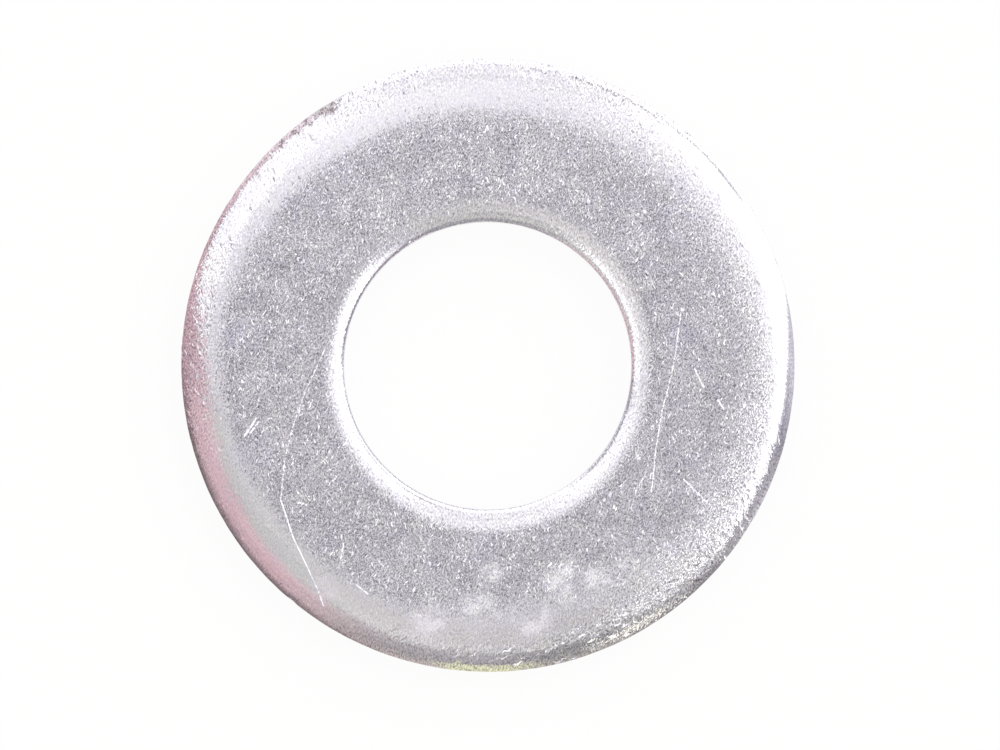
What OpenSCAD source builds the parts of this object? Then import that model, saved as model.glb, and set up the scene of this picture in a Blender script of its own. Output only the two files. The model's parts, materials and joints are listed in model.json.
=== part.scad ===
// Flat washer punched from steel strip, millimetres, +Z up.
// It lies on its underside, with the hole's axis on Z and the rolled edges on top.

/* [Ring] */
// Outside diameter, across the smooth land of the outer wall
outer_d = 18; // [16:0.5:24]
// Diameter of the bolt hole, across the smooth land of its wall
hole_d = 8.4; // [5:0.1:9]
// Distance between the two flat faces
thickness = 1.6; // [1.5:0.1:2.5]

/* [Rolled top edges] */
// Width of the outer rolled edge, seen from above
outer_roll_w = 1.3; // [0.6:0.05:1.6]
// Drop of the outer rolled edge below the top face
outer_roll_h = 0.35; // [0.15:0.05:0.5]
// Width of the rolled edge round the hole, seen from above
hole_roll_w = 0.6; // [0.3:0.05:0.9]
// Drop of the rolled edge round the hole below the top face
hole_roll_h = 0.25; // [0.1:0.05:0.4]

/* [Sheared walls] */
// Height of the smooth land on the outer wall, below its rolled edge
outer_land_h = 0.6; // [0.3:0.05:0.8]
// Height of the smooth land on the wall of the hole, below its rolled edge
hole_land_h = 0.65; // [0.3:0.05:0.8]
// How far the torn foot of the outer wall draws in under its land
outer_tear = 0.1; // [0.02:0.01:0.2]
// How far the torn foot of the hole's wall opens out under its land
hole_tear = 0.1; // [0.02:0.01:0.2]
// Radius of the tumbled edges round the underside
edge_r = 0.08; // [0.02:0.01:0.15]

/* [Hidden] */

outer_r = outer_d / 2;
hole_r = hole_d / 2;

// Heights at which each smooth land begins and ends
outer_land_top = thickness - outer_roll_h;
outer_land_foot = outer_land_top - outer_land_h;
hole_land_top = thickness - hole_roll_h;
hole_land_foot = hole_land_top - hole_land_h;

// Radii that the two torn walls reach at the underside
outer_foot_r = outer_r - outer_tear;
hole_foot_r = hole_r + hole_tear;

// Straight steps along a rolled edge and along a tumbled one
roll_steps = 24;
edge_steps = 6;

zinc = [0.74, 0.74, 0.77];

// Points on an ellipse's arc, anticlockwise between two angles
function arc(centre, half_w, half_h, from, to, steps) = [
    for (i = [0 : steps])
        let (a = from + (to - from) * i / steps)
            centre + [half_w * cos(a), half_h * sin(a)]
];

// Half of the ring's cross-section, as radius and height, anticlockwise from the underside:
// tumbled edge, torn foot, land and rolled edge on the outer wall, then the hole's the other way
module ring_section() {
    polygon(concat(
        arc([outer_foot_r - edge_r, edge_r], edge_r, edge_r, 270, 360, edge_steps),
        [[outer_r, outer_land_foot]],
        arc([outer_r - outer_roll_w, outer_land_top], outer_roll_w, outer_roll_h, 0, 90, roll_steps),
        arc([hole_r + hole_roll_w, hole_land_top], hole_roll_w, hole_roll_h, 90, 180, roll_steps),
        [[hole_r, hole_land_foot]],
        arc([hole_foot_r + edge_r, edge_r], edge_r, edge_r, 180, 270, edge_steps)
    ));
}

// The whole washer, one piece turned out of its section
module washer() {
    color(zinc)
        rotate_extrude($fn = 180)
            ring_section();
}

washer();
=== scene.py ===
"""Looks of a punched, zinc plated flat washer that lies on a white floor, seen from above."""
import json
import math
import random

import bpy
import numpy as np
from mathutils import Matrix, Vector


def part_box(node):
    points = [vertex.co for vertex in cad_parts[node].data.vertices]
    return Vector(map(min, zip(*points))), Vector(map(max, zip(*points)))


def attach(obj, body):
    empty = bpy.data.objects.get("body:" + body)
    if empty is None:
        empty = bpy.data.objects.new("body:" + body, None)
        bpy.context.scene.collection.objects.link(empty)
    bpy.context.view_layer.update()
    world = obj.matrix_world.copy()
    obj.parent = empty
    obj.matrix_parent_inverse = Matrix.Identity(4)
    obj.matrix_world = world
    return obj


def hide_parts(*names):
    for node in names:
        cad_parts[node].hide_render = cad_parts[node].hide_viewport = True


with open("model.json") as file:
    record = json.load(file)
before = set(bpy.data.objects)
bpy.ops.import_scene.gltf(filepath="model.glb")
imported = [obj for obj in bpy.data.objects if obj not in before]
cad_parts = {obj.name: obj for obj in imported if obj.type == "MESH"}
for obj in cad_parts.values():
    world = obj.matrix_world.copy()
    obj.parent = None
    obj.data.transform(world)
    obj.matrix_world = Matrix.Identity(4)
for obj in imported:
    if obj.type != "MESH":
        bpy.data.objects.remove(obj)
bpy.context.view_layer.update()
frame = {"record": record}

# Sizes of the ring, taken from the frame, in metres
MM = 0.001
NODE = "washer"
LOW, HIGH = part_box(NODE)
OUTER_R = HIGH.x
THICKNESS = HIGH.z
BOLT_HOLE = next(m for m in frame["record"]["mounts"] if m["name"] == "bolt_hole")
HOLE_R = BOLT_HOLE["dims"]["r_mm"] * MM

# Rolled edges: where each starts, how far it drops, and how sharply it ends in the corner over the land
OUTER_ROLL_W = 1.85 * MM
OUTER_ROLL_H = 0.31 * MM
OUTER_ROLL_END = 10.0
HOLE_ROLL_W = 0.92 * MM
HOLE_ROLL_H = 0.185 * MM
HOLE_ROLL_END = 9.0
ROLL_START = 2.6
ROLL_GENTLE_SHARE = 0.6
# How much closer together its rings lie towards the corner
ROLL_CROWDING = 1.6
# The outer rolled edge is wider at some bearings: degrees from +X, and millimetres more
OUTER_ROLL_WIDER = [
    (0, 0.18), (15, 0.22), (30, 0.18), (60, 0.10), (90, 0.20), (120, 0.24), (150, 0.18),
    (168, 0.04), (180, 0.0), (228, 0.0), (255, 0.15), (285, 0.40), (300, 0.34), (315, 0.15),
    (335, 0.04), (348, 0.06), (360, 0.18),
]

# Walls: smooth sheared lands over torn feet with blunted edges
OUTER_TEAR_TOP = 0.65 * MM
HOLE_TEAR_TOP = 0.70 * MM
TEAR = 0.1 * MM
EDGE_R = 0.08 * MM

# Mesh density
TURN_STEPS = 720
EDGE_STEPS = 5
TEAR_STEPS = 14
LAND_STEPS = 8
OUTER_ROLL_STEPS = 34
HOLE_ROLL_STEPS = 22
TOP_STEPS = 10
UNDER_STEPS = 10

# Unevenness of the punched walls and the face
TEAR_LINE_WOBBLE = 0.07 * MM
TEAR_ROUGHNESS = 0.016 * MM
TEAR_FINE_SHARE = 0.7
TEAR_BROAD_SHARE = 0.5
TEAR_ROWS_ALIKE = 4
RIM_WOBBLE = 0.004 * MM
RIM_FINE_SHARE = 0.5
ROLL_WOBBLE = 0.05 * MM
HOLE_WOBBLE_SHARE = 0.6
FACE_WAVE = 0.0015 * MM
# The hole is a little wide on its left side and off the middle, and its roll is wider on one side
HOLE_WIDER = 0.019 * MM
HOLE_SHIFT = 0.021 * MM
HOLE_SHIFT_AT = 287.0
HOLE_ROLL_WIDER = 0.09 * MM
HOLE_ROLL_WIDER_AT = 5.0

# Ripples round the ring: their wave counts in one turn, and a seed
RIM_RIPPLE = ((3, 7, 12, 19, 31), 5)
RIM_FINE_RIPPLE = ((57, 71, 93, 118, 140), 6)
OUTER_LINE_RIPPLE = ((5, 11, 18, 29, 47), 7)
OUTER_ROLL_RIPPLE = ((2, 3, 5), 8)
HOLE_ROLL_RIPPLE = ((2, 3, 7), 9)
HOLE_RIM_RIPPLE = ((4, 9, 15, 27, 53, 77), 10)
HOLE_LINE_RIPPLE = ((4, 9, 15, 26), 11)
FACE_RIPPLE = ((1, 2, 3, 5), 20)
TEAR_FINE_WAVES = (61, 83, 97, 127, 149, 181, 211)
TEAR_BROAD_WAVES = (17, 23, 37)
OUTER_TEAR_SEED = 100
HOLE_TEAR_SEED = 300

# Weights that the material reads, the shares of a roll's width over which some of them rise, and how torn
# the blunted edges look
WEIGHTS = ("tear", "land", "roll", "corner", "edge", "hole")
OUTER_ROLL_WEIGHTS = {
    "land": (0.994, 1.0), "roll": (0.0, 0.38), "corner": (0.5, 0.75), "edge": (0.82, 0.93),
}
HOLE_ROLL_WEIGHTS = {"land": (0.994, 1.0), "hole": (0.1, 0.5)}
EDGE_TORN = 0.4

# Camera over the washer: width of the view, and the washer's place in it
IMAGE_W = 1000
IMAGE_H = 750
PIXELS_PER_MM = 34.13
WASHER_PX = (488.0, 365.2)
CAMERA_HEIGHT = 0.25
CAMERA_SEES = (0.01, 10.0)
SENSOR_W = 36.0


def ripple(angles, waves, seed):
    """A smooth closed wave round the ring, between about -1 and 1, from the given wave counts."""
    rng = random.Random(seed)
    total = np.zeros_like(angles)
    for count in waves:
        total += rng.uniform(0.5, 1.0) * np.sin(count * angles + rng.uniform(0, math.tau))
    return total / math.sqrt(len(waves))


def span(first, last, steps):
    """Shares from first to last, without the last one, which the next stretch begins with."""
    return [first + (last - first) * i / steps for i in range(steps)]


def smooth(value, low, high):
    """0 below low and 1 above high, with a soft change between them."""
    share = np.clip((value - low) / (high - low), 0.0, 1.0)
    return share * share * (3 - 2 * share)


def roll_drop(share, height, end):
    """Drop of a rolled edge at a share of its width: slow at first, then quickly into its corner."""
    return height * (ROLL_GENTLE_SHARE * share ** ROLL_START + (1 - ROLL_GENTLE_SHARE) * share ** end)


def roll_shares(steps):
    """Shares of a roll's width from its start to its corner, closer together towards the corner."""
    return [1 - (1 - s) ** ROLL_CROWDING for s in span(0.0, 1.0, steps)]


class Ring:
    """Rings of points round the washer, with the weights that the material reads."""

    def __init__(self):
        self.angles = np.arange(TURN_STEPS) * math.tau / TURN_STEPS
        self.radii = []
        self.heights = []
        self.weights = {name: [] for name in WEIGHTS}

    def add(self, radius, height, **weights):
        self.radii.append(np.broadcast_to(radius, self.angles.shape))
        self.heights.append(np.broadcast_to(height, self.angles.shape))
        for name, values in self.weights.items():
            values.append(weights.get(name, 0.0))


class Side:
    """Sizes of one side of the section. Its metal lies outwards where into is 1, and inwards where -1."""

    def __init__(self, into, radius, foot, rim, line, roll_w, roll_h, roll_end, seed):
        self.into = into
        self.radius = radius
        self.foot = foot
        self.rim = rim
        self.line = line
        self.roll_w = roll_w
        self.roll_h = roll_h
        self.roll_end = roll_end
        self.seed = seed


def outer_side(angles):
    """The outside, where the metal lies inwards."""
    rim = RIM_WOBBLE * (ripple(angles, *RIM_RIPPLE) - 1)
    rim += RIM_FINE_SHARE * RIM_WOBBLE * (ripple(angles, *RIM_FINE_RIPPLE) - 1)
    line = OUTER_TEAR_TOP + TEAR_LINE_WOBBLE * ripple(angles, *OUTER_LINE_RIPPLE)
    roll_w = OUTER_ROLL_W + np.interp(np.degrees(angles), *zip(*OUTER_ROLL_WIDER)) * MM
    roll_w += ROLL_WOBBLE * ripple(angles, *OUTER_ROLL_RIPPLE)
    foot = OUTER_R - TEAR
    return Side(-1, OUTER_R, foot, rim, line, roll_w, OUTER_ROLL_H, OUTER_ROLL_END, OUTER_TEAR_SEED)


def hole_side(angles):
    """The hole, where the metal lies outwards."""
    radius = HOLE_R + HOLE_WIDER * (1 - np.cos(angles))
    radius += HOLE_SHIFT * np.cos(angles - math.radians(HOLE_SHIFT_AT))
    rim = -HOLE_WOBBLE_SHARE * RIM_WOBBLE * (ripple(angles, *HOLE_RIM_RIPPLE) - 1)
    line = HOLE_TEAR_TOP + TEAR_LINE_WOBBLE * ripple(angles, *HOLE_LINE_RIPPLE)
    roll_w = HOLE_ROLL_W + HOLE_WOBBLE_SHARE * ROLL_WOBBLE * ripple(angles, *HOLE_ROLL_RIPPLE)
    roll_w += HOLE_ROLL_WIDER * np.cos(angles - math.radians(HOLE_ROLL_WIDER_AT))
    foot = radius + TEAR
    return Side(1, radius, foot, rim, line, roll_w, HOLE_ROLL_H, HOLE_ROLL_END, HOLE_TEAR_SEED)


def torn(angles, seed, row):
    """Roughness of a torn wall at one height."""
    fine = ripple(angles, TEAR_FINE_WAVES, seed + row)
    broad = ripple(angles, TEAR_BROAD_WAVES, seed + row // TEAR_ROWS_ALIKE)
    return TEAR_ROUGHNESS * np.abs(TEAR_FINE_SHARE * fine + TEAR_BROAD_SHARE * broad)


def add_blunt_edge(ring, side, degrees):
    """The blunted edge over the underside, at some degrees of its arc."""
    for a in degrees:
        across = EDGE_R * math.cos(math.radians(a))
        up = EDGE_R * math.sin(math.radians(a))
        ring.add(side.foot + side.into * (EDGE_R - across), EDGE_R + up, tear=EDGE_TORN)


def add_torn_wall(ring, side, start, end):
    """The torn wall from one radius and height to another, roughened into the metal."""
    for row, s in enumerate(span(0, 1, TEAR_STEPS)):
        radius = start[0] + s * (end[0] - start[0])
        height = start[1] + s * (end[1] - start[1])
        deep = torn(ring.angles, side.seed, row) * math.sin(math.pi * s) ** 0.5
        ring.add(radius + side.into * deep, height, tear=1)


def add_land(ring, side, first, last, shares):
    """The smooth sheared land from one height to another."""
    for s in shares:
        ring.add(side.radius + side.rim, first + s * (last - first), land=1)


def add_roll(ring, side, shares, weights):
    """The rolled edge at some shares of its width, from 0 on the face to 1 in its corner."""
    for s in shares:
        radius = side.radius + side.rim * s + side.into * side.roll_w * (1 - s)
        drop = roll_drop(s, side.roll_h, side.roll_end)
        risen = {name: float(smooth(s, *rise)) for name, rise in weights.items()}
        ring.add(radius, THICKNESS - drop, **risen)


def add_top_face(ring, outside, inside):
    """The face between the rolled edges, which is a little wavy."""
    wave = FACE_WAVE * (ripple(ring.angles, *FACE_RIPPLE) - 1)
    for s in span(0, 1, TOP_STEPS)[1:]:
        ring.add(outside + s * (inside - outside), THICKNESS + wave * math.sin(math.pi * s))


def add_underside(ring, inside, outside):
    for s in span(0, 1, UNDER_STEPS):
        ring.add(inside + s * (outside - inside), 0.0)


def section_rings():
    """The washer's section, anticlockwise from the outer foot, one ring of points for each step."""
    ring = Ring()
    outer = outer_side(ring.angles)
    hole = hole_side(ring.angles)
    add_blunt_edge(ring, outer, span(-90, 0, EDGE_STEPS))
    add_torn_wall(ring, outer, (outer.foot, EDGE_R), (outer.radius, outer.line))
    add_land(ring, outer, outer.line, THICKNESS - outer.roll_h, span(0, 1, LAND_STEPS))
    add_roll(ring, outer, reversed(roll_shares(OUTER_ROLL_STEPS) + [1.0]), OUTER_ROLL_WEIGHTS)
    add_top_face(ring, outer.radius - outer.roll_w, hole.radius + hole.roll_w)
    add_roll(ring, hole, roll_shares(HOLE_ROLL_STEPS) + [1.0], HOLE_ROLL_WEIGHTS)
    add_land(ring, hole, THICKNESS - hole.roll_h, hole.line, span(0, 1, LAND_STEPS)[1:])
    add_torn_wall(ring, hole, (hole.radius, hole.line), (hole.foot, EDGE_R))
    add_blunt_edge(ring, hole, span(0, -90, EDGE_STEPS))
    add_underside(ring, hole.foot + EDGE_R, outer.foot - EDGE_R)
    return ring


# Dents: bearing, radius, height, size, push towards the axis and push down, all lengths in millimetres
DENTS = [
    (121.3, 8.95, 1.30, 0.09, 0.030, 0.035),
    (119.8, 8.90, 1.35, 0.06, 0.022, 0.030),
    (123.4, 8.95, 1.30, 0.07, 0.022, 0.022),
    (176.8, 9.00, 1.20, 0.09, -0.030, 0.000),
    (174.9, 9.00, 1.20, 0.08, -0.025, 0.000),
    (230.2, 8.98, 1.25, 0.10, 0.040, 0.020),
    (147.0, 8.95, 1.30, 0.09, 0.030, 0.030),
]


def dented(points):
    """The points with each dent pushed in, over a soft round patch."""
    for angle, radius, height, size, inward, down in DENTS:
        turn = math.radians(angle)
        out = np.array([math.cos(turn), math.sin(turn), 0.0])
        centre = out * radius * MM + np.array([0, 0, height * MM])
        share = np.exp(-((np.linalg.norm(points - centre, axis=1) / (size * MM)) ** 2))
        points = points - share[:, None] * (out * inward * MM + np.array([0, 0, down * MM]))
    return points


def washer_mesh():
    """The ring as one closed mesh, with the weights stored on its points."""
    ring = section_rings()
    rows = len(ring.radii)
    radii = np.array(ring.radii)
    points = np.stack(
        [radii * np.cos(ring.angles), radii * np.sin(ring.angles), np.array(ring.heights)], -1
    ).reshape(-1, 3)
    points = dented(points)
    row, step = np.meshgrid(np.arange(rows), np.arange(TURN_STEPS), indexing="ij")
    next_row = (row + 1) % rows
    next_step = (step + 1) % TURN_STEPS
    faces = np.stack(
        [
            row * TURN_STEPS + step,
            row * TURN_STEPS + next_step,
            next_row * TURN_STEPS + next_step,
            next_row * TURN_STEPS + step,
        ],
        -1,
    ).reshape(-1, 4)
    mesh = bpy.data.meshes.new("washer_ring")
    mesh.from_pydata(points.tolist(), [], faces.tolist())
    for name, weights in ring.weights.items():
        attribute = mesh.attributes.new(name, "FLOAT", "POINT")
        attribute.data.foreach_set("value", np.repeat(weights, TURN_STEPS).astype(np.float32))
    mesh.shade_smooth()
    mesh.validate()
    mesh.update()
    return mesh


class Graph:
    """A node tree, with short calls for the nodes that the materials and the world use."""

    def __init__(self, tree):
        self.tree = tree

    def put(self, socket, value):
        if isinstance(value, bpy.types.NodeSocket):
            self.tree.links.new(value, socket)
        else:
            socket.default_value = value

    def node(self, kind, inputs=None, **settings):
        made = self.tree.nodes.new(kind)
        for name, value in settings.items():
            setattr(made, name, value)
        for name, value in (inputs or {}).items():
            self.put(made.inputs[name], value)
        return made

    def math(self, operation, *values, clamp=False):
        made = self.node("ShaderNodeMath", operation=operation, use_clamp=clamp)
        for i, value in enumerate(values):
            self.put(made.inputs[i], value)
        return made.outputs[0]

    def vector(self, operation, *values):
        made = self.node("ShaderNodeVectorMath", operation=operation)
        for i, value in enumerate(values):
            self.put(made.inputs[i], value)
        return made.outputs["Vector"]

    def scaled(self, vector, factor):
        made = self.node("ShaderNodeVectorMath", {"Vector": vector, "Scale": factor}, operation="SCALE")
        return made.outputs["Vector"]

    def length(self, vector):
        made = self.node("ShaderNodeVectorMath", {0: vector}, operation="LENGTH")
        return made.outputs["Value"]

    def dot(self, a, b):
        made = self.node("ShaderNodeVectorMath", {0: a, 1: b}, operation="DOT_PRODUCT")
        return made.outputs["Value"]

    def turned(self, vector, degrees):
        given = {"Vector": vector, "Angle": math.radians(degrees)}
        made = self.node("ShaderNodeVectorRotate", given, rotation_type="Z_AXIS")
        return made.outputs["Vector"]

    def fade(self, value, low, high, to_low=0.0, to_high=1.0):
        """value taken smoothly from to_low at low to to_high at high."""
        made = self.node("ShaderNodeMapRange", interpolation_type="SMOOTHSTEP", clamp=True)
        given = {"Value": value, "From Min": low, "From Max": high, "To Min": to_low, "To Max": to_high}
        for name, number in given.items():
            self.put(made.inputs[name], number)
        return made.outputs["Result"]

    def mix(self, factor, a, b):
        made = self.node("ShaderNodeMix", data_type="RGBA")
        self.put(made.inputs[0], factor)
        self.put(made.inputs[6], a)
        self.put(made.inputs[7], b)
        return made.outputs[2]

    def ramp(self, degrees, stops, full):
        """Colour that runs straight from stop to stop, each a pair of degrees and colour."""
        made = self.node("ShaderNodeValToRGB", {"Fac": self.math("DIVIDE", degrees, full)})
        elements = made.color_ramp.elements
        while len(elements) < len(stops):
            elements.new(0.5)
        for element, (place, level) in zip(elements, stops):
            element.position = place / full
            element.color = colour(*level)
        return made.outputs["Color"]

    def noise(self, place, scale, detail=2.0, roughness=0.5):
        """The outputs of a soft noise, whose cells are 1 / scale wide."""
        given = {"Vector": place, "Scale": scale, "Detail": detail, "Roughness": roughness}
        return self.node("ShaderNodeTexNoise", given).outputs

    def weight(self, name):
        """A share that the mesh carries on its points."""
        return self.node("ShaderNodeAttribute", attribute_name=name).outputs["Fac"]

    def bearing(self, vector):
        """Degrees from +X towards +Y, from -180 to 180."""
        parts = self.node("ShaderNodeSeparateXYZ", {0: vector}).outputs
        return self.math("DEGREES", self.math("ARCTAN2", parts["Y"], parts["X"]))


def colour(r, g, b):
    return (r, g, b, 1.0)


def bare_material(name):
    material = bpy.data.materials.new(name)
    material.use_nodes = True
    material.node_tree.nodes.clear()
    return material, Graph(material.node_tree)


# Middle of a noise's range, and what flattens a vector onto the face
MIDDLE = (0.5, 0.5, 0.5)
FLAT = (1.0, 1.0, 0.0)

# Colours of the zinc
ZINC_COOL = colour(0.768, 0.755, 0.848)
ZINC_WARM = colour(0.788, 0.775, 0.838)
ZINC_BLUE = colour(0.775, 0.765, 0.895)
ZINC_PALE = colour(0.905, 0.878, 1.0)
ZINC_TORN = colour(0.50, 0.49, 0.51)
ZINC_SCUFF = colour(0.20, 0.15, 0.16)

# Grain bends with a soft noise: its cells for each millimetre, and its reach in millimetres
WARP_PER_MM = 6.0
WARP = 0.10
# Worm-like grain in layers: bearing, cells for each millimetre along and across it, lean as a slope
WORMS = [
    (68.0, 16.0, 32.0, 0.25),
    (112.0, 16.0, 32.0, 0.185),
]
# Glints, which are single cells that lean more: bearing, cells for each millimetre along and across it
GLINTS = [
    (64.0, 9.0, 40.0),
    (112.0, 10.0, 40.0),
]
GLINT_CHOSEN = (0.90, 1.0)
GLINT_LEAN = 0.42
# Longer strokes near the outer corner: bearing, cells for each millimetre along and across it
STROKES = (118.0, 4.5, 26.0)
STROKE_CHOSEN = (0.72, 0.92)
STROKE_LEAN = 0.60
# Their bearing on the near side, and where that begins
NEAR_STROKES_AT = 24.0
NEAR_STROKES_Y = -5.75
# Light and dark specks in the colour: bearing, cells for each millimetre along and across it, depth
SPECKS = (72.0, 14.0, 26.0)
SPECKS_DEPTH = 1.4
SPECKS_TOP = 1.25
# Lively and quiet patches of all of it: range of the noise, and the shares at its two ends
PATCHES_PER_MM = 1.6
PATCHES = (0.38, 0.62, 0.80, 1.20)
# Soft swell of the face, and streaks that run outwards on the outer rolled edge
SWELL_PER_MM = 5.0
SWELL_LEAN = 0.03
STREAK_LEAN = 0.04
STREAKS_ROUND = 70.0
# Walls: cells for each millimetre, lean as a slope, and the noise's detail and roughness
LAND_GRAIN = ((16.0, 16.0, 0.6), 0.25, 2.0, 0.6)
TORN_GRAIN = ((9.0, 9.0, 5.0), 1.6, 3.0, 0.7)
TORN_SHARE = 0.8
TORN_ROUGHER = 0.26
# Roughness of the zinc: cells for each millimetre, range of the noise, and the roughness at its two ends
ROUGH_PER_MM = 2.2
ZINC_ROUGH = (0.3, 0.7, 0.09, 0.13)
# Broad clouds, which break up the smears, warm the colour and break up the bluish patches
CLOUDS = (1.6, 3.0, 0.62)
SMEAR_CLOUDS = (0.40, 0.60, 0.3, 1.0)
WARM_CLOUDS = (0.35, 0.65)
BLUISH_CLOUDS = (0.40, 0.62)

# Grain as a share of that on the face, by bearing: half way out on the outer rolled edge
LIVELY = [
    (0, 1.1), (15, 0.95), (30, 1.1), (45, 0.8), (60, 0.75), (75, 0.5), (90, 0.30), (120, 0.35),
    (135, 0.38), (150, 0.42), (165, 0.58), (180, 0.58), (195, 0.32), (225, 0.28), (240, 0.24),
    (255, 0.42), (270, 0.44), (285, 0.5), (300, 1.0), (315, 1.8), (330, 1.9), (345, 1.75),
    (360, 1.1),
]
# The same near its corner
LIVELY_EDGE = [
    (0, 0.3), (15, 0.25), (30, 0.2), (45, 0.3), (60, 0.8), (75, 0.65), (90, 0.5), (105, 0.6),
    (120, 0.9), (135, 0.6), (150, 0.5), (160, 1.1), (168, 1.5), (180, 1.5), (190, 0.7), (202, 0.3),
    (225, 0.25), (240, 0.4), (255, 0.75), (270, 0.65), (285, 1.0), (300, 1.8), (315, 2.2),
    (330, 0.95), (345, 0.5), (360, 0.3),
]
LIVELY_FULL = 2.5
# How much more there is at the very edge, and the share on the edge round the hole
EDGE_LIVELIER = 0.6
LIVELY_HOLE = 0.7

# Pale smears on the face: place and radius in millimetres
SMEARS = [
    (-1.7, -7.5, 0.9), (-0.2, -7.3, 0.9), (1.2, -7.4, 1.0), (2.3, -6.4, 0.9), (3.1, -6.5, 0.9),
    (4.3, -6.0, 0.8), (0.0, -6.2, 0.6), (-4.8, -6.6, 0.6),
]
SMEAR_CALM = 0.3
SMEAR_ROUGHER = 0.22
# Bluish patches: place and radius in millimetres
BLUISH = [
    (-5.5, 4.8, 1.2), (-4.2, 6.0, 0.9), (-7.2, 0.8, 0.8), (-6.9, -2.6, 0.9), (-0.2, -5.4, 0.7),
    (5.1, -5.1, 0.9), (5.6, 4.3, 1.1), (6.2, -3.2, 1.0), (5.9, 1.0, 0.9),
]

# Spots of all kinds are solid out to this share of their radius
SPOT_SOLID = 0.3

# Dark scuffs on the rim: place and radius in millimetres
SCUFFS = [
    (-4.55, 7.55, 0.28), (-4.85, 7.40, 0.22), (-5.25, 7.15, 0.22), (-5.65, 6.85, 0.22), (-6.05, 6.50, 0.2),
]
SCUFF_PER_MM = 8.0
SCUFF_CLOUDS = (0.45, 0.58)
SCUFF_LIVELIER = 2.0
SCUFF_SHARE = 0.8

# Scratches on the face: half width, slope, and points, all lengths in millimetres
SCRATCHES = [
    (0.022, 0.15, [(-4.79, 0.45), (-5.38, -0.84), (-5.70, -1.75), (-5.97, -2.81), (-6.07, -3.95)]),
    (0.024, 0.26, [(-6.07, -3.95), (-5.70, -5.07), (-5.32, -5.86), (-4.96, -6.65), (-4.82, -7.06)]),
    (0.034, 0.30, [(-7.14, -2.08), (-6.78, -1.55)]),
    (0.028, 0.26, [(-6.96, -1.99), (-6.72, -1.65)]),
    (0.020, 0.12, [(-5.51, -3.43), (-4.66, -2.66)]),
    (0.032, 0.18, [(-4.31, -5.68), (-4.23, -5.22)]),
    (0.030, 0.20, [(-6.76, 0.01), (-6.55, 0.21)]),
    (0.022, 0.15, [(5.67, 1.65), (5.47, 0.21), (5.35, -0.38), (5.09, -1.37), (4.91, -2.55), (4.79, -3.72)]),
    (0.026, 0.14, [(4.65, -3.13), (4.30, -3.75)]),
    (0.028, 0.16, [(6.06, -0.11), (6.32, -0.64)]),
    (0.024, 0.14, [(5.73, -3.34), (6.38, -3.98)]),
    (0.030, 0.16, [(6.73, -1.02), (6.91, -1.28)]),
    (0.024, 0.20, [(-3.86, -6.43), (-3.52, -6.70), (-3.62, -6.86)]),
    (0.026, 0.18, [(-4.95, -6.16), (-4.72, -6.01)]),
    (0.028, 0.20, [(-7.75, -0.75), (-7.56, -0.64)]),
    (0.028, 0.20, [(-7.99, -0.98), (-7.88, -0.90)]),
    (0.024, 0.18, [(-2.83, -7.80), (-2.57, -7.67)]),
]
# Where a scratch fades, as shares of its half width, the side that it faces, and its fainter stretches
SCRATCH_FADES = (0.4, 1.3)
SCRATCH_FACES = Vector((0.9, 0.45, 0.0))
SCRATCH_BREAKS_PER_MM = 4.0
SCRATCH_BREAKS = (0.36, 0.55, 0.78, 1.2)
SCRATCH_INPUTS = {
    "Place": "Vector", "Start": "Vector", "Along": "Vector", "Across": "Vector", "Length": "Float",
    "Half Width": "Float",
}


def scratch_group():
    """Node group: lean of the floor of one straight scratch at a place, and none beside it."""
    tree = bpy.data.node_groups.new("scratch", "ShaderNodeTree")
    for name, kind in SCRATCH_INPUTS.items():
        tree.interface.new_socket(name, in_out="INPUT", socket_type="NodeSocket" + kind)
    tree.interface.new_socket("Lean", in_out="OUTPUT", socket_type="NodeSocketVector")
    g = Graph(tree)
    given = g.node("NodeGroupInput").outputs
    offset = g.vector("SUBTRACT", given["Place"], given["Start"])
    along = g.dot(offset, given["Along"])
    nearest = g.math("MINIMUM", g.math("MAXIMUM", along, 0.0), given["Length"])
    beyond = g.math("ABSOLUTE", g.math("SUBTRACT", along, nearest))
    side = g.dot(offset, given["Across"])
    distance = g.math("ADD", g.math("ABSOLUTE", side), beyond)
    mask = g.fade(g.math("DIVIDE", distance, given["Half Width"]), *SCRATCH_FADES, 1.0, 0.0)
    out = g.node("NodeGroupOutput")
    g.put(out.inputs["Lean"], g.scaled(given["Across"], mask))
    return tree


def scratch_lean(g, group, flat, start, end, half_width):
    """Lean of one straight stretch of a scratch."""
    step = Vector(end).to_3d() - Vector(start).to_3d()
    along = step.normalized()
    across = Vector((-along.y, along.x, 0))
    if across.dot(SCRATCH_FACES) < 0:
        across = -across
    made = g.node("ShaderNodeGroup", node_tree=group)
    values = (flat, Vector(start).to_3d(), along, across, step.length, half_width)
    for name, value in zip(SCRATCH_INPUTS, values):
        g.put(made.inputs[name], value)
    return made.outputs["Lean"]


def scratches(g, place):
    """Lean of all the scratches at a place in millimetres."""
    group = scratch_group()
    flat = g.vector("MULTIPLY", place, FLAT)
    lean = (0.0, 0.0, 0.0)
    for half_width, slope, points in SCRATCHES:
        for start, end in zip(points, points[1:]):
            one = scratch_lean(g, group, flat, start, end, half_width)
            lean = g.vector("ADD", lean, g.scaled(one, slope))
    breaks = g.fade(g.noise(flat, SCRATCH_BREAKS_PER_MM, 1.0)["Fac"], *SCRATCH_BREAKS)
    return g.scaled(lean, breaks)


def stretched(g, place, degrees, along, across):
    """The place in cells that run along a bearing."""
    return g.vector("MULTIPLY", g.turned(place, -degrees), (along, across, 1.0))


def flat_noise(g, place):
    """Noise from 0 to 1 without finer detail, at a place in cells."""
    return g.node(
        "ShaderNodeTexNoise", {"Vector": place, "Scale": 1.0, "Detail": 0.0}, noise_dimensions="2D"
    ).outputs["Fac"]


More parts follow.
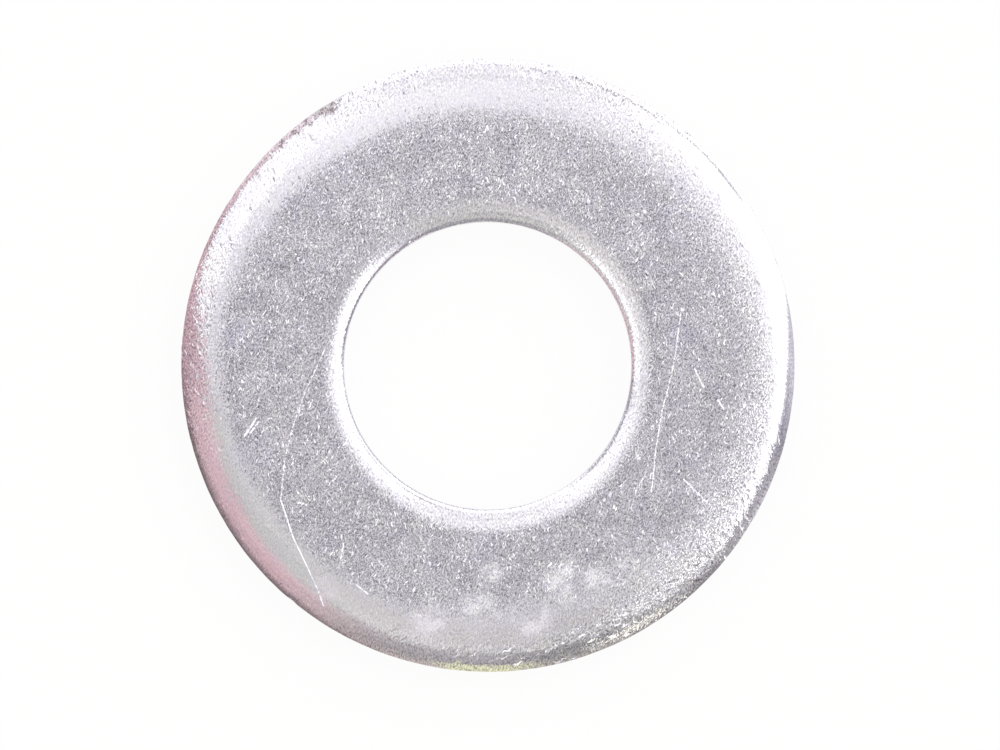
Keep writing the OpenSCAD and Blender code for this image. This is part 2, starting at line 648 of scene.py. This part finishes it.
def warped(g, place):
    """The place, bent a little one way and the other."""
    soft = g.node(
        "ShaderNodeTexNoise", {"Vector": place, "Scale": WARP_PER_MM, "Detail": 0.0}, noise_dimensions="2D"
    ).outputs["Color"]
    return g.vector("ADD", place, g.scaled(g.vector("SUBTRACT", soft, MIDDLE), WARP))


def worms(g, place):
    """Lean of the worm-like grain, each layer across its own bearing."""
    lean = (0.0, 0.0, 0.0)
    for degrees, along, across, slope in WORMS:
        height = g.math("SUBTRACT", flat_noise(g, stretched(g, place, degrees, along, across)), 0.5)
        side = math.radians(degrees + 90)
        steepest = (slope * math.cos(side), slope * math.sin(side), 0.0)
        lean = g.vector("ADD", lean, g.scaled(steepest, height))
    return lean


def glints(g, place, layers, chosen, most):
    """Lean of the few cells that shine, some of them more than others."""
    lean = (0.0, 0.0, 0.0)
    for degrees, along, across in layers:
        cells = g.node(
            "ShaderNodeTexVoronoi",
            {"Vector": stretched(g, place, degrees, along, across), "Scale": 1.0},
            voronoi_dimensions="2D",
        ).outputs["Color"]
        chance = g.node("ShaderNodeSeparateColor", {0: cells}).outputs[2]
        tilt = g.vector("MULTIPLY", g.vector("SUBTRACT", cells, MIDDLE), FLAT)
        lean = g.vector("ADD", lean, g.scaled(tilt, g.fade(chance, *chosen, 0.0, most)))
    return lean


def rim_strokes(g, place, corner):
    """Lean of the longer strokes near the outer corner, which turn along the rim on the near side."""
    y = g.node("ShaderNodeSeparateXYZ", {0: place}).outputs["Y"]
    near = g.math("LESS_THAN", y, NEAR_STROKES_Y)
    turn = g.math("MULTIPLY", near, math.radians(STROKES[0] - NEAR_STROKES_AT))
    given = {"Vector": place, "Angle": turn}
    turned = g.node("ShaderNodeVectorRotate", given, rotation_type="Z_AXIS").outputs["Vector"]
    return g.scaled(glints(g, turned, [STROKES], STROKE_CHOSEN, STROKE_LEAN), corner)


def by_bearing(g, place, shares):
    """A share that changes with the bearing, from a list of degrees and shares."""
    turn = g.math("MODULO", g.math("ADD", g.bearing(place), 360.0), 360.0)
    stops = [(degrees, (share / LIVELY_FULL,) * 3) for degrees, share in shares]
    level = g.node("ShaderNodeSeparateColor", {0: g.ramp(turn, stops, 360.0)}).outputs[0]
    return g.math("MULTIPLY", level, LIVELY_FULL)


def between(g, factor, a, b):
    """Number from a to b by a factor."""
    made = g.node("ShaderNodeMix", data_type="FLOAT")
    g.put(made.inputs[0], factor)
    g.put(made.inputs[2], a)
    g.put(made.inputs[3], b)
    return made.outputs[0]


def spots(g, place, places):
    """Share of the nearest of some round spots, each given by its place and radius in millimetres."""
    mask = 0.0
    for x, y, radius in places:
        offset = g.vector("MULTIPLY", g.vector("SUBTRACT", place, (x, y, 0.0)), FLAT)
        mask = g.math("MAXIMUM", mask, g.fade(g.length(offset), SPOT_SOLID * radius, radius, 1.0, 0.0))
    return mask


def noise_lean(g, place, cells, slope, detail=2.0, roughness=0.6):
    """Lean from a soft noise, with some cells for each millimetre along each axis."""
    made = g.noise(g.vector("MULTIPLY", place, cells), 1.0, detail, roughness)
    return g.scaled(g.vector("SUBTRACT", made["Color"], MIDDLE), slope)


def streaks(g, place, roll):
    """Lean of the faint streaks that run outwards on the outer rolled edge."""
    turn = g.math("RADIANS", g.bearing(place))
    way = {"X": g.math("COSINE", turn), "Y": g.math("SINE", turn)}
    spoke = g.node("ShaderNodeCombineXYZ", way).outputs[0]
    reach = g.length(g.vector("MULTIPLY", place, FLAT))
    across = g.vector("ADD", g.scaled(spoke, STREAKS_ROUND), g.scaled((0.0, 0.0, 1.0), reach))
    return g.scaled(noise_lean(g, across, (1.0, 1.0, 1.0), STREAK_LEAN), roll)


def zinc_masks(g, place, clouds):
    """The shares that the mesh carries, and those of the smears, the scuffs and the face."""
    mask = {name: g.weight(name) for name in WEIGHTS}
    mask["smear"] = g.math("MULTIPLY", spots(g, place, SMEARS), g.fade(clouds[0], *SMEAR_CLOUDS))
    scuffed = g.fade(g.noise(place, SCUFF_PER_MM)["Fac"], *SCUFF_CLOUDS)
    mask["scuff"] = g.math("MULTIPLY", spots(g, place, SCUFFS), scuffed)
    mask["face"] = g.math("SUBTRACT", 1.0, g.math("MAXIMUM", mask["tear"], mask["land"]), clamp=True)
    return mask


def liveliness(g, place, mask):
    """Share of the grain: by bearing on the outer rolled edge, less round the hole and in the smears."""
    live = between(g, mask["roll"], 1.0, by_bearing(g, place, LIVELY))
    live = between(g, mask["corner"], live, by_bearing(g, place, LIVELY_EDGE))
    live = g.math("MULTIPLY", live, g.math("MULTIPLY_ADD", mask["edge"], EDGE_LIVELIER, 1.0))
    live = between(g, mask["hole"], live, LIVELY_HOLE)
    return g.math("MULTIPLY", live, g.math("MULTIPLY_ADD", mask["smear"], -SMEAR_CALM, 1.0))


def grain_lean(g, place, bent, mask, live):
    """Lean of the grain, its glints and its strokes."""
    patches = g.fade(g.noise(place, PATCHES_PER_MM)["Fac"], *PATCHES)
    lean = g.vector("ADD", worms(g, bent), glints(g, bent, GLINTS, GLINT_CHOSEN, GLINT_LEAN))
    lean = g.vector("ADD", lean, rim_strokes(g, bent, mask["corner"]))
    lean = g.scaled(lean, g.math("MULTIPLY", live, patches))
    return g.scaled(lean, g.math("MULTIPLY_ADD", mask["scuff"], SCUFF_LIVELIER, 1.0))


def zinc_normal(g, place, bent, mask, live):
    """The normal, leant by what lies on the face, on the drawn lands and on the torn walls."""
    lean = g.vector("ADD", grain_lean(g, place, bent, mask, live), streaks(g, place, mask["roll"]))
    lean = g.vector("ADD", lean, noise_lean(g, place, (SWELL_PER_MM,) * 3, SWELL_LEAN))
    lean = g.vector("ADD", lean, scratches(g, place))
    lean = g.scaled(lean, mask["face"])
    lean = g.vector("ADD", lean, g.scaled(noise_lean(g, place, *LAND_GRAIN), mask["land"]))
    lean = g.vector("ADD", lean, g.scaled(noise_lean(g, place, *TORN_GRAIN), mask["tear"]))
    normal = g.node("ShaderNodeNewGeometry").outputs["Normal"]
    return g.vector("NORMALIZE", g.vector("ADD", normal, lean))


def zinc_colour(g, place, bent, mask, live, clouds):
    """Colour of the zinc: cool, warm, bluish and pale places, specks, dark scuffs and dull torn walls."""
    base = g.mix(g.fade(clouds[1], *WARM_CLOUDS), ZINC_COOL, ZINC_WARM)
    bluish = g.math("MULTIPLY", spots(g, place, BLUISH), g.fade(clouds[2], *BLUISH_CLOUDS))
    base = g.mix(bluish, base, ZINC_BLUE)
    base = g.mix(mask["smear"], base, ZINC_PALE)
    speck = g.math("SUBTRACT", flat_noise(g, stretched(g, bent, *SPECKS)), 0.5)
    speck = g.math("MULTIPLY", speck, g.math("MULTIPLY", g.math("MINIMUM", live, 1.0), mask["face"]))
    speck = g.math("MULTIPLY_ADD", speck, SPECKS_DEPTH, 1.0)
    base = g.scaled(base, g.math("MINIMUM", speck, SPECKS_TOP))
    base = g.mix(g.math("MULTIPLY", mask["scuff"], SCUFF_SHARE), base, ZINC_SCUFF)
    return g.mix(g.math("MULTIPLY", mask["tear"], TORN_SHARE), base, ZINC_TORN)


def zinc_roughness(g, place, mask):
    rough = g.fade(g.noise(place, ROUGH_PER_MM)["Fac"], *ZINC_ROUGH)
    rough = g.math("ADD", rough, g.math("MULTIPLY", mask["smear"], SMEAR_ROUGHER))
    return g.math("ADD", rough, g.math("MULTIPLY", mask["tear"], TORN_ROUGHER))


def zinc_material():
    """Bright zinc over punched steel: fine grain on the faces, drawn lands and dull torn walls."""
    material, g = bare_material("zinc_plated_steel")
    place = g.scaled(g.node("ShaderNodeTexCoord").outputs["Object"], 1 / MM)
    clouds = g.node("ShaderNodeSeparateColor", {0: g.noise(place, *CLOUDS)["Color"]}).outputs
    mask = zinc_masks(g, place, clouds)
    live = liveliness(g, place, mask)
    bent = warped(g, place)
    given = {
        "Base Color": zinc_colour(g, place, bent, mask, live, clouds),
        "Metallic": 1.0,
        "Roughness": zinc_roughness(g, place, mask),
        "Normal": zinc_normal(g, place, bent, mask, live),
    }
    shader = g.node("ShaderNodeBsdfPrincipled", given)
    out = g.node("ShaderNodeOutputMaterial")
    g.put(out.inputs["Surface"], shader.outputs[0])
    return material


def add_washer():
    mesh = washer_mesh()
    mesh.materials.append(zinc_material())
    ring = bpy.data.objects.new("washer_ring", mesh)
    bpy.context.scene.collection.objects.link(ring)
    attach(ring, "root")
    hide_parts(NODE)
    return ring


# White floor: most of its white is its own, and the rest is lit, which keeps the shadow
FLOOR_R = 0.9
FLOOR_MIDDLE_R = 0.09
FLOOR_CURB = 0.04
FLOOR_CURB_DEGREES = (30, 60, 90)
FLOOR_STEPS = 96
FLOOR_WHITE = colour(0.92, 0.92, 0.92)
FLOOR_OWN_SHARE = 0.93


def floor_material():
    """White that is seen as white, and takes the washer's shadow."""
    material, g = bare_material("white_floor")
    path = g.node("ShaderNodeLightPath").outputs
    seen = g.math("MAXIMUM", path["Is Camera Ray"], path["Is Glossy Ray"])
    seen = g.math("MAXIMUM", seen, path["Is Transmission Ray"])
    lit = g.node("ShaderNodeBsdfDiffuse", {"Color": FLOOR_WHITE})
    own = g.node("ShaderNodeEmission", {"Color": colour(1, 1, 1), "Strength": 1.0})
    both = g.node("ShaderNodeMixShader", {0: g.math("MULTIPLY", seen, FLOOR_OWN_SHARE)})
    g.put(both.inputs[1], lit.outputs[0])
    g.put(both.inputs[2], own.outputs[0])
    out = g.node("ShaderNodeOutputMaterial")
    g.put(out.inputs["Surface"], both.outputs[0])
    return material


def floor_rings():
    """Radius and height of the floor's rings, from its middle to the top of its curb."""
    rings = [(FLOOR_MIDDLE_R, 0.0), (FLOOR_R, 0.0)]
    for degrees in FLOOR_CURB_DEGREES:
        out = FLOOR_CURB * math.sin(math.radians(degrees))
        up = FLOOR_CURB * (1 - math.cos(math.radians(degrees)))
        rings.append((FLOOR_R + out, up))
    return rings


def add_floor():
    """A wide white disc with a low curb round it, so that a low camera sees only white."""
    rings = floor_rings()
    points = []
    for radius, height in rings:
        for i in range(FLOOR_STEPS):
            turn = math.tau * i / FLOOR_STEPS
            points.append((radius * math.cos(turn), radius * math.sin(turn), height))
    faces = [tuple(range(FLOOR_STEPS))]
    for k in range(len(rings) - 1):
        for i in range(FLOOR_STEPS):
            j = (i + 1) % FLOOR_STEPS
            a = k * FLOOR_STEPS
            b = a + FLOOR_STEPS
            faces.append((a + i, b + i, b + j, a + j))
    mesh = bpy.data.meshes.new("floor")
    mesh.from_pydata(points, [], faces)
    mesh.materials.append(floor_material())
    floor = bpy.data.objects.new("floor", mesh)
    bpy.context.scene.collection.objects.link(floor)


# Studio dome: its light at some angles from straight up
DOME_LEVELS = [
    (0, (0.57, 0.56, 0.57)),
    (20, (0.57, 0.56, 0.56)),
    (30, (0.52, 0.51, 0.52)),
    (45, (0.50, 0.49, 0.50)),
    (60, (0.46, 0.45, 0.47)),
    (95, (0.42, 0.41, 0.44)),
]
# Windows in the dome: name, bearing from +X, half width, softness of the sides, nearest and furthest edge
# from straight up, softness of those edges, all in degrees, and the light that each adds
WINDOWS = [
    ("ceiling", 185, 140, 20, -4.0, 22, 2.5, (0.292, 0.285, 0.278)),
    ("top", 100, 42, 14, 4.2, 24, 2.0, (0.24, 0.24, 0.22)),
    ("upper", 130, 42, 14, 7.0, 20, 2.0, (0.07, 0.07, 0.06)),
    ("top_side", 86, 43, 14, 24, 84, 4, (0.61, 0.61, 0.57)),
    ("top_right", 53, 14, 8, 7, 16, 3, (-0.08, -0.08, -0.08)),
    ("top_low", 92, 33, 10, 56, 84, 4, (0.55, 0.55, 0.53)),
    ("right", 8, 50, 8, 9.5, 84, 3.0, (0.60, 0.60, 0.56)),
    ("right_side", 8, 50, 8, 20.0, 84, 5, (0.45, 0.45, 0.42)),
    ("right_near", 320, 14, 6, 30.0, 66, 5, (0.50, 0.50, 0.47)),
    ("right_low", 328, 30, 8, 68, 84, 4, (-1.1, -1.1, -1.05)),
    ("seam", 43, 10, 5, 55, 65, 3, (-1.05, -1.05, -1.0)),
    ("seam_high", 61, 10, 5, 47, 55, 3, (-0.9, -0.9, -0.86)),
    ("near_high", 318, 44, 14, 6.5, 20, 1.5, (-0.21, -0.21, -0.20)),
    ("right_high", 14, 22, 8, 1.5, 7.5, 1.8, (0.25, 0.25, 0.245)),
    ("right_dim", 334, 20, 8, 4, 15, 2.0, (-0.17, -0.17, -0.16)),
    ("low_left", 243, 24, 12, 5, 16, 3.0, (-0.10, -0.10, -0.10)),
    ("warm_left", 240, 55, 14, 5, 60, 3.0, (0.004, 0.0, -0.050)),
    ("near", 270, 44, 14, 26, 52, 5, (0.17, 0.17, 0.16)),
    ("left", 143, 22, 7, 18, 59, 5, (0.78, 0.78, 0.74)),
    ("left_low", 143, 22, 7, 72, 82, 3, (0.50, 0.50, 0.47)),
    ("far_left", 201, 31, 8, 24, 60, 5, (0.85, 0.85, 0.81)),
    ("far_left_high", 208, 30, 10, 12, 24, 3, (0.15, 0.15, 0.14)),
]
DARKEST = (0.42, 0.36, 0.37)
# Dark spot overhead, where the camera stands: the way to its middle, how much narrower it is along each
# axis, its edge in degrees, its level
LENS_AXIS = (-0.050, 0.010, 1.0)
LENS_NARROW = (1.0, 1.15, 1.0)
LENS_EDGE = (2.2, 5.4)
LENS_LEVEL = colour(0.243, 0.232, 0.258)


def dome_light(g, direction):
    """Light of the dome with that of all the windows added."""
    height = g.node("ShaderNodeSeparateXYZ", {0: direction}).outputs["Z"]
    polar = g.math("DEGREES", g.math("ARCCOSINE", height))
    light = g.ramp(polar, DOME_LEVELS, 180.0)
    for _, bearing, half, soft, near, far, edge, level in WINDOWS:
        off = g.math("ABSOLUTE", g.bearing(g.turned(direction, -bearing)))
        sideways = g.fade(off, half - soft, half + soft, 1.0, 0.0)
        inner = g.fade(polar, near - edge, near + edge)
        outer = g.fade(polar, far - edge, far + edge, 1.0, 0.0)
        share = g.math("MULTIPLY", sideways, g.math("MULTIPLY", inner, outer))
        light = g.vector("ADD", light, g.scaled(level, share))
    return g.vector("MAXIMUM", light, DARKEST)


def add_world():
    """A pale dome with soft windows round it, and a dark spot overhead."""
    world = bpy.data.worlds.new("studio")
    world.use_nodes = True
    world.node_tree.nodes.clear()
    bpy.context.scene.world = world
    g = Graph(world.node_tree)
    direction = g.node("ShaderNodeTexCoord").outputs["Generated"]
    light = dome_light(g, direction)
    narrowed = g.vector("NORMALIZE", g.vector("MULTIPLY", direction, LENS_NARROW))
    axis = Vector(LENS_AXIS).normalized()
    from_lens = g.math("DEGREES", g.math("ARCCOSINE", g.dot(narrowed, axis)))
    light = g.mix(g.fade(from_lens, *LENS_EDGE, 1.0, 0.0), light, LENS_LEVEL)
    background = g.node("ShaderNodeBackground", {"Color": light, "Strength": 1.0})
    out = g.node("ShaderNodeOutputWorld")
    g.put(out.inputs["Surface"], background.outputs[0])
    world.cycles.sampling_method = "NONE"


# Low tinted card that stands close round the left and near sides, seen in the rolled edges only
CARD_R = 10.5 * MM
CARD_STEP = 2.0
# Bearing at which the scales of its tints end
CARD_LAST = 400.0
# Its height in millimetres at some bearings, which run on past 360
CARD_TOPS = [
    (110, 0.0), (117, 0.1), (119, 1.6), (122, 3.5), (127, 3.1), (140, 2.9), (150, 2.6), (160, 2.4),
    (165, 3.1), (170, 4.7), (174, 6.8), (178, 9.5), (184, 12.5), (190, 17.0), (228, 17.0), (240, 10.0),
    (250, 7.0), (262, 6.3), (286, 6.8), (302, 5.2), (318, 4.2), (330, 4.2), (340, 4.0), (349, 3.6),
    (357, 3.5), (364, 3.0), (370, 2.3), (376, 1.3), (384, 0.0),
]
# Its tint by bearing
CARD_TINTS = [
    (119, (0.66, 0.66, 0.62)),
    (127, (0.92, 0.82, 0.83)),
    (145, (0.80, 0.63, 0.64)),
    (160, (0.68, 0.47, 0.49)),
    (180, (0.64, 0.47, 0.485)),
    (195, (0.74, 0.54, 0.545)),
    (225, (0.75, 0.535, 0.53)),
    (240, (0.585, 0.505, 0.48)),
    (255, (0.48, 0.455, 0.44)),
    (270, (0.47, 0.45, 0.44)),
    (288, (0.34, 0.33, 0.32)),
    (304, (0.44, 0.43, 0.42)),
    (318, (0.50, 0.48, 0.48)),
    (330, (0.42, 0.40, 0.40)),
    (345, (0.49, 0.47, 0.50)),
    (360, (0.72, 0.70, 0.72)),
]
# The tint at its foot, and the heights over which it gives way to the tint above
CARD_FEET = [
    (119, (0.70, 0.70, 0.66)),
    (127, (1.00, 0.88, 0.88)),
    (145, (0.84, 0.66, 0.66)),
    (160, (0.74, 0.52, 0.53)),
    (180, (0.47, 0.32, 0.35)),
    (195, (0.27, 0.21, 0.21)),
    (225, (0.30, 0.23, 0.23)),
    (240, (0.42, 0.34, 0.325)),
    (255, (0.63, 0.56, 0.51)),
    (285, (0.52, 0.49, 0.44)),
    (302, (0.46, 0.43, 0.39)),
    (318, (0.33, 0.31, 0.31)),
    (330, (0.78, 0.75, 0.74)),
    (345, (0.38, 0.36, 0.39)),
    (360, (0.80, 0.78, 0.80)),
]
CARD_FOOT_H = (1.5, 3.2)
# Share of its height where it begins to fade out
CARD_FADE = 0.78
# It grows paler upwards, and its upper part is pale, from lower down towards higher bearings
CARD_PALER = (3.0, 6.5, 1.0, 1.14)
CARD_UPPER = colour(0.70, 0.705, 0.65)
CARD_UPPER_FROM = (6.0, 10.8)
CARD_UPPER_AT = 205.0
CARD_UPPER_SINKS = 0.08
CARD_UPPER_SUNK = 1.2
# Uneven tint: stripes for each turn and for each millimetre of height, noise's range, least and most tint
CARD_STRIPES = (18.0, 1.6)
CARD_UNEVEN = (0.3, 0.7, 0.88, 1.12)
# Spots on it: bearing, half width, softness, lowest and highest height, colour
CARD_SPOTS = [
    (270, 9.0, 2.5, 0.1, 2.75, (0.84, 0.85, 0.56)),
    (299, 7.5, 2.5, 2.35, 3.2, (1.5, 1.48, 1.25)),
]
CARD_SPOT_SOFT = 0.25


def card_tint(g, bearing, height):
    """Tint of the card: by bearing, darker or lighter at its foot, and pale in its upper part."""
    tint = g.scaled(g.ramp(bearing, CARD_TINTS, CARD_LAST), g.fade(height, *CARD_PALER))
    sunk = g.math("MULTIPLY", g.math("SUBTRACT", bearing, CARD_UPPER_AT), CARD_UPPER_SINKS)
    sunk = g.math("MINIMUM", sunk, CARD_UPPER_SUNK)
    tint = g.mix(g.fade(g.math("ADD", height, sunk), *CARD_UPPER_FROM), tint, CARD_UPPER)
    tint = g.mix(g.fade(height, *CARD_FOOT_H), g.ramp(bearing, CARD_FEET, CARD_LAST), tint)
    across = g.math("MULTIPLY", bearing, CARD_STRIPES[0] / 360.0)
    up = g.math("MULTIPLY", height, CARD_STRIPES[1])
    stripe = g.node("ShaderNodeCombineXYZ", {"X": across, "Y": up}).outputs[0]
    return g.scaled(tint, g.fade(g.noise(stripe, 1.0)["Fac"], *CARD_UNEVEN))


def spotted(g, tint, bearing, height):
    """The tint with the card's spots on it."""
    for centre, half, soft, low, high, shade in CARD_SPOTS:
        off = g.math("ABSOLUTE", g.math("SUBTRACT", bearing, centre))
        spot = g.fade(off, half - soft, half + soft, 1.0, 0.0)
        lower = g.fade(height, low - CARD_SPOT_SOFT, low + CARD_SPOT_SOFT)
        upper = g.fade(height, high - CARD_SPOT_SOFT, high + CARD_SPOT_SOFT, 1.0, 0.0)
        spot = g.math("MULTIPLY", spot, g.math("MULTIPLY", lower, upper))
        tint = g.mix(spot, tint, colour(*shade))
    return tint


def card_material():
    """Card that shines in its own tint, and fades out at its top."""
    material, g = bare_material("tinted_card")
    place = g.scaled(g.node("ShaderNodeTexCoord").outputs["Object"], 1 / MM)
    first = CARD_TOPS[0][0]
    bearing = g.bearing(g.turned(place, -first))
    bearing = g.math("ADD", g.math("MODULO", g.math("ADD", bearing, 360.0), 360.0), first)
    height = g.node("ShaderNodeSeparateXYZ", {0: place}).outputs["Z"]
    tint = spotted(g, card_tint(g, bearing, height), bearing, height)
    light = g.node("ShaderNodeEmission", {"Color": tint, "Strength": 1.0})
    clear = g.node("ShaderNodeBsdfTransparent")
    both = g.node("ShaderNodeMixShader", {0: g.fade(g.weight("up"), CARD_FADE, 1.0)})
    g.put(both.inputs[1], light.outputs[0])
    g.put(both.inputs[2], clear.outputs[0])
    out = g.node("ShaderNodeOutputMaterial")
    g.put(out.inputs["Surface"], both.outputs[0])
    return material


def add_card():
    """The card, which only the shiny zinc sees."""
    bearings = np.arange(CARD_TOPS[0][0], CARD_TOPS[-1][0] + CARD_STEP / 2, CARD_STEP)
    tops = np.interp(bearings, *zip(*CARD_TOPS)) * MM
    points = []
    for bearing, top in zip(bearings, tops):
        turn = math.radians(bearing)
        for height in (0.0, top):
            points.append((CARD_R * math.cos(turn), CARD_R * math.sin(turn), height))
    faces = [(2 * i, 2 * i + 2, 2 * i + 3, 2 * i + 1) for i in range(len(bearings) - 1)]
    mesh = bpy.data.meshes.new("card")
    mesh.from_pydata(points, [], faces)
    up = mesh.attributes.new("up", "FLOAT", "POINT")
    up.data.foreach_set("value", np.tile([0.0, 1.0], len(bearings)).astype(np.float32))
    mesh.materials.append(card_material())
    card = bpy.data.objects.new("card", mesh)
    bpy.context.scene.collection.objects.link(card)
    card.visible_camera = False
    card.visible_diffuse = False
    card.visible_shadow = False
    card.visible_transmission = False


def add_camera():
    """Straight above, with the washer at its place in the photograph's frame."""
    data = bpy.data.cameras.new("camera")
    camera = bpy.data.objects.new("camera", data)
    bpy.context.scene.collection.objects.link(camera)
    right = (IMAGE_W / 2 - WASHER_PX[0]) / PIXELS_PER_MM * MM
    down = (IMAGE_H / 2 - WASHER_PX[1]) / PIXELS_PER_MM * MM
    camera.location = (right, -down, THICKNESS + CAMERA_HEIGHT)
    data.sensor_width = SENSOR_W
    data.lens = SENSOR_W * CAMERA_HEIGHT / (IMAGE_W / PIXELS_PER_MM * MM)
    data.clip_start, data.clip_end = CAMERA_SEES
    bpy.context.scene.camera = camera


add_washer()
add_floor()
add_world()
add_card()
add_camera()
bpy.context.scene.view_settings.view_transform = "Standard"
